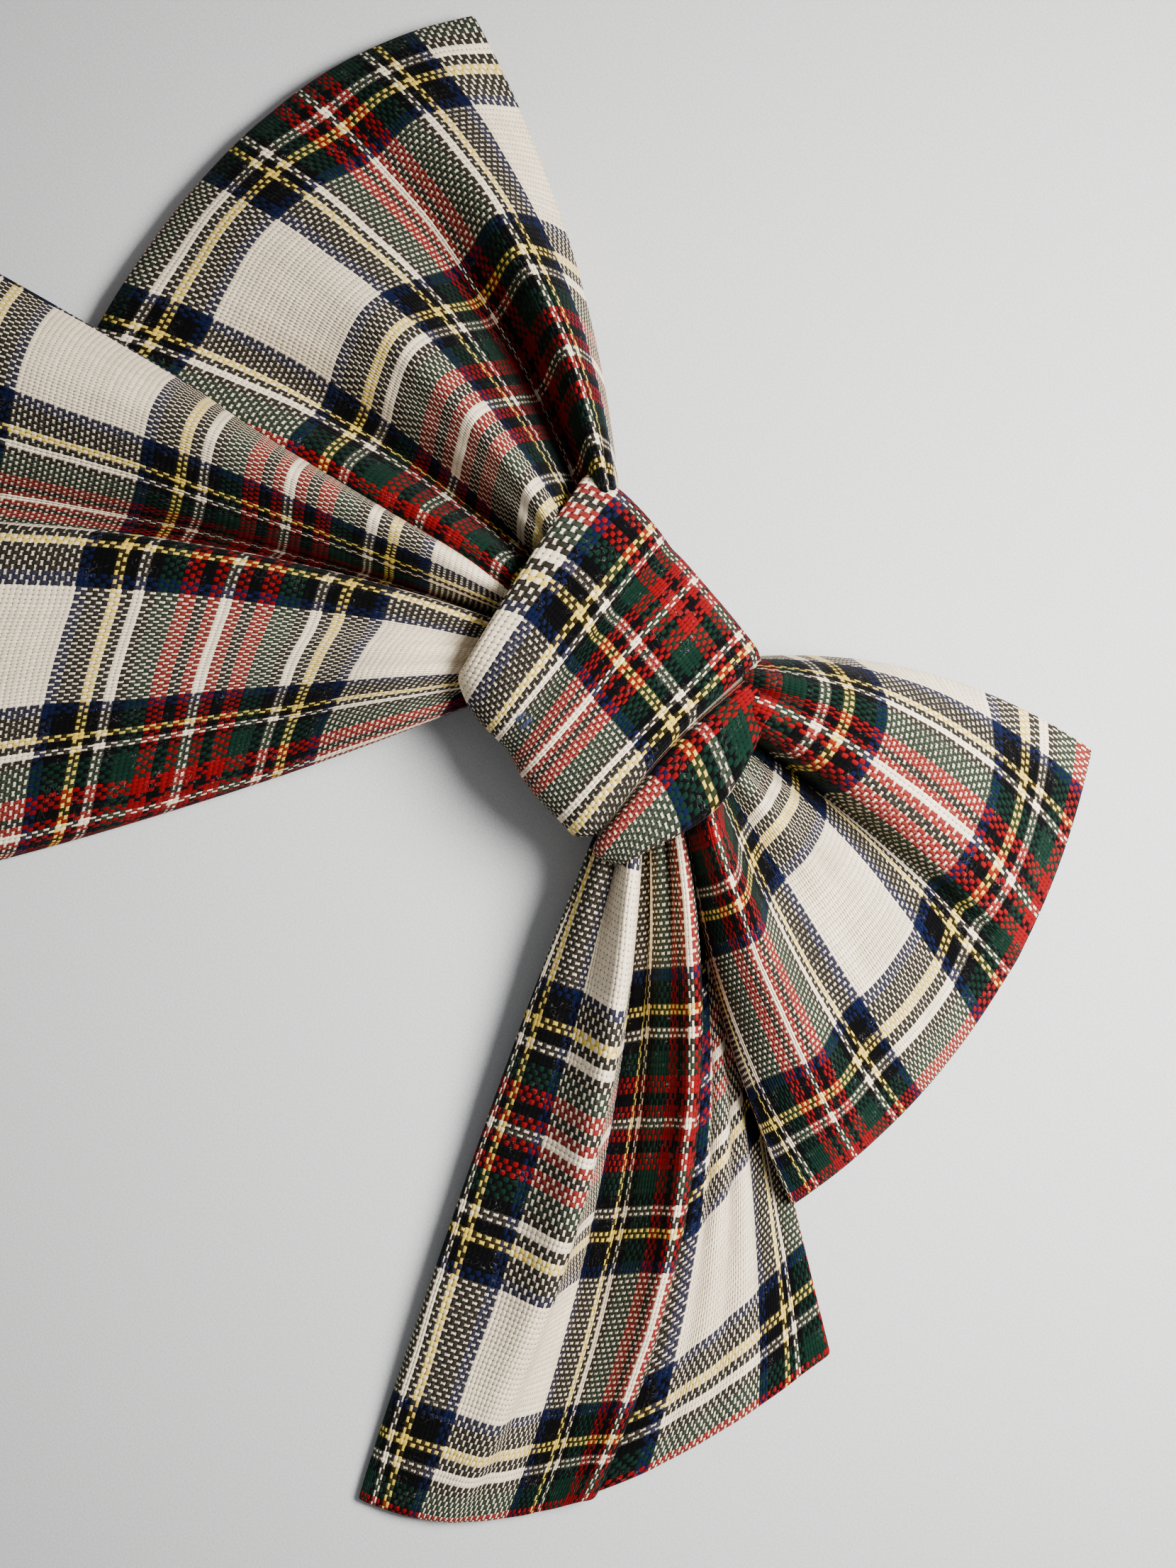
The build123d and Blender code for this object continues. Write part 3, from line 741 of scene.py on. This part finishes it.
def knot_point(line, turn):
    y, z = knot_section(turn)
    x = curve_through(KNOT_LINE_SIDES, line.x[::-1], [y])[0]
    sink = curve_through(KNOT_LINE_SIDES, line.sink[::-1], [y])[0]
    lap = LAP_RISE * max(0.0, (turn - LAP_BEGINS) / LAP_TAKES)
    reach_y = KNOT_HALF_HEIGHT - sink + lap
    reach_z = KNOT_HALF_DEPTH - sink * CREASE_ON_TOP + lap
    return x, y * reach_y, KNOT_CENTRE_Z + z * reach_z


def make_knot(material):
    turns = np.linspace(-KNOT_OVERLAP, 1 + KNOT_OVERLAP, TURN_STEPS)
    lines = np.array([[knot_point(line, turn) for turn in turns] for line in KNOT_LINES])
    cloth = [line.cloth for line in KNOT_LINES]
    columns, rows = 84, 128
    points, cloth_u, _ = surface_through(lines, cloth, columns, rows)
    far_side = int(np.argmax(points[columns // 2, :, 1]))
    cloth_v = lengths_from(points, far_side)
    points = soften(points, cloth_u, cloth_v, KNOT_WRINKLE_SEED, KNOT_WRINKLE)
    piece = cloth_piece("knot", points, cloth_u, cloth_v, material)
    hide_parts("knot_face", "knot_lining")
    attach(piece, "bow")
    return piece


def make_waist_gathers(material):
    """The strip's middle, pleated into a bundle inside the knot."""
    columns, rows = 128, 12
    pleats = 4.5
    pleat_rise = 5.6
    half_width = 8.6
    half_length = 15.0
    widening = 0.25
    points = np.zeros((columns + 1, rows + 1, 3))
    for column in range(columns + 1):
        share = column / columns
        wave = math.sin(share * pleats * 2 * math.pi)
        for row in range(rows + 1):
            reach = 2 * row / rows - 1
            spread = 1 + widening * abs(reach)
            points[column, row] = (
                reach * half_length,
                (1 - 2 * share) * half_width * spread,
                KNOT_CENTRE_Z + wave * pleat_rise,
            )
    cloth_u = np.linspace(0, STRIP_WIDTH, columns + 1)
    cloth_v = lengths_from(points, 0)
    piece = cloth_piece("waist_gathers", points, cloth_u, cloth_v, material)
    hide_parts("loop_waist", "tail_waist")
    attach(piece, "bow")
    return piece


# ---------------------------------------------------------------- floor, light, camera

VIEW_CENTRE = (11.9, -13.4)
VIEW_TURN = 50.0
VIEW_LONG_SIDE = 245.8
LENS = 100.0
SENSOR = 36.0
# The height above the table at which the view's long side is measured.
FRAMED_HEIGHT = 10.0
FLOOR_HALF_WIDTH = 1.5
FLOOR_COLOUR = (0.60, 0.61, 0.62)
FLOOR_SHADING = 0.50
WARM_WHITE = (1.0, 0.975, 0.94)
COOL_WHITE = (0.97, 0.98, 1.0)
SKY_WHITE = (0.94, 0.96, 1.0, 1)


def make_floor():
    bm = bmesh.new()
    bmesh.ops.create_grid(bm, x_segments=1, y_segments=1, size=FLOOR_HALF_WIDTH)
    mesh = bpy.data.meshes.new("floor")
    bm.to_mesh(mesh)
    bm.free()
    floor = bpy.data.objects.new("floor", mesh)
    bpy.context.scene.collection.objects.link(floor)
    material, tree, shader = new_material("pale_card")
    place = add_node(tree, "ShaderNodeTexCoord")
    grain = noise_texture(tree, place.outputs["Object"], scale=3000.0, detail=3.0).outputs[0]
    colour = combine(tree, "SCALE", FLOOR_COLOUR,
                     factor_about_one(tree, grain, FLOOR_SHADING))
    tree.links.new(colour, shader.inputs["Base Color"])
    shader.inputs["Roughness"].default_value = 0.95
    shader.inputs["Specular IOR Level"].default_value = 0.1
    add_bump(tree, shader, grain, strength=0.3, distance=0.0002)
    mesh.materials.append(material)


def area_light(name, place, aim, spread, size, energy, colour):
    """A round soft light that points at its aim; spread is its beam in degrees."""
    data = bpy.data.lights.new(name, "AREA")
    data.shape = "DISK"
    data.size = size
    data.energy = energy
    data.color = colour
    data.spread = math.radians(spread)
    light = bpy.data.objects.new(name, data)
    light.location = place
    light.rotation_euler = (Vector(aim) - Vector(place)).to_track_quat("-Z", "Y").to_euler()
    bpy.context.scene.collection.objects.link(light)


def make_studio():
    make_floor()
    area_light("key", place=(0.17, 0.25, 0.38), aim=(0.075, 0.062, 0), spread=57, size=0.30,
               energy=1.45, colour=WARM_WHITE)
    area_light("fill", place=(0.10, 0.20, 0.80), aim=(0, 0, 0), spread=180, size=0.8,
               energy=1.0, colour=COOL_WHITE)
    world = bpy.data.worlds.new("studio")
    world.use_nodes = True
    background = world.node_tree.nodes["Background"]
    background.inputs[0].default_value = SKY_WHITE
    background.inputs[1].default_value = 0.20
    bpy.context.scene.world = world


def make_camera():
    data = bpy.data.cameras.new("camera")
    data.lens = LENS
    data.sensor_width = SENSOR
    camera = bpy.data.objects.new("camera", data)
    distance = VIEW_LONG_SIDE * LENS / SENSOR + FRAMED_HEIGHT
    camera.location = Vector((*VIEW_CENTRE, distance)) * MM
    camera.rotation_euler = (0, 0, math.radians(VIEW_TURN))
    bpy.context.scene.collection.objects.link(camera)
    bpy.context.scene.camera = camera


# ---------------------------------------------------------------- the whole bow tie

def finish_hardware():
    grain = make_metal_grain_group()
    twist = make_twist_group()
    nickel = rolled_metal("nickelled_clip", grain, (0.72, 0.69, 0.64), (0.5, 0.48, 0.45), 0.34)
    steel = rolled_metal("tempered_spring", grain, (0.30, 0.31, 0.34), (0.16, 0.17, 0.2), 0.42)
    thread = sewing_thread("navy_thread", twist, (0.02, 0.03, 0.09))
    finishes = {
        nickel: ("clip_plate", "clip_lever", "clip_pin"),
        steel: ("clip_spring",),
        thread: ("waist_binding_thread", "loop_join_stitches", "knot_back_stitches",
                 "clip_stitches"),
    }
    for material, nodes in finishes.items():
        for node in nodes:
            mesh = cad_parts[node].data
            mesh.materials.clear()
            mesh.materials.append(material)


weave_group = make_weave_group()
finish_hardware()
left_loop = make_loop(
    "left", LEFT_LOOP_MOUTH, LEFT_LOOP_EDGE, LEFT_LOOP_FOLDS, LEFT_LOOP_UNDER, LEFT_LOOP_TURN,
    wrinkle_seed=88.5,
    material=tartan("tartan_left_loop", weave_group, lengthwise_pivot=47, crosswise_pivot=20))
make_loop(
    "right", RIGHT_LOOP_MOUTH, RIGHT_LOOP_EDGE, RIGHT_LOOP_FOLDS, RIGHT_LOOP_UNDER,
    RIGHT_LOOP_TURN, wrinkle_seed=61.0,
    material=tartan("tartan_right_loop", weave_group, lengthwise_pivot=44, crosswise_pivot=1))
make_tail(
    "left_tail", LEFT_TAIL_MOUTH, LEFT_TAIL_EDGE, LEFT_TAIL_FOLDS, LEFT_TAIL_LENGTH,
    LEFT_TAIL_SLANT, LEFT_TAIL_SQUEEZE,
    wrinkle_seed=149.0,
    material=tartan("tartan_left_tail", weave_group, lengthwise_pivot=68, crosswise_pivot=49))
make_tail(
    "right_tail", RIGHT_TAIL_MOUTH, RIGHT_TAIL_EDGE, RIGHT_TAIL_FOLDS, RIGHT_TAIL_LENGTH,
    RIGHT_TAIL_SLANT, RIGHT_TAIL_SQUEEZE,
    wrinkle_seed=123.5,
    material=tartan("tartan_right_tail", weave_group, lengthwise_pivot=88, crosswise_pivot=61))
make_knot(tartan("tartan_knot", weave_group, lengthwise_pivot=42, crosswise_pivot=4))
make_waist_gathers(
    tartan("tartan_waist", weave_group, lengthwise_pivot=47, crosswise_pivot=20))
make_studio()
make_camera()
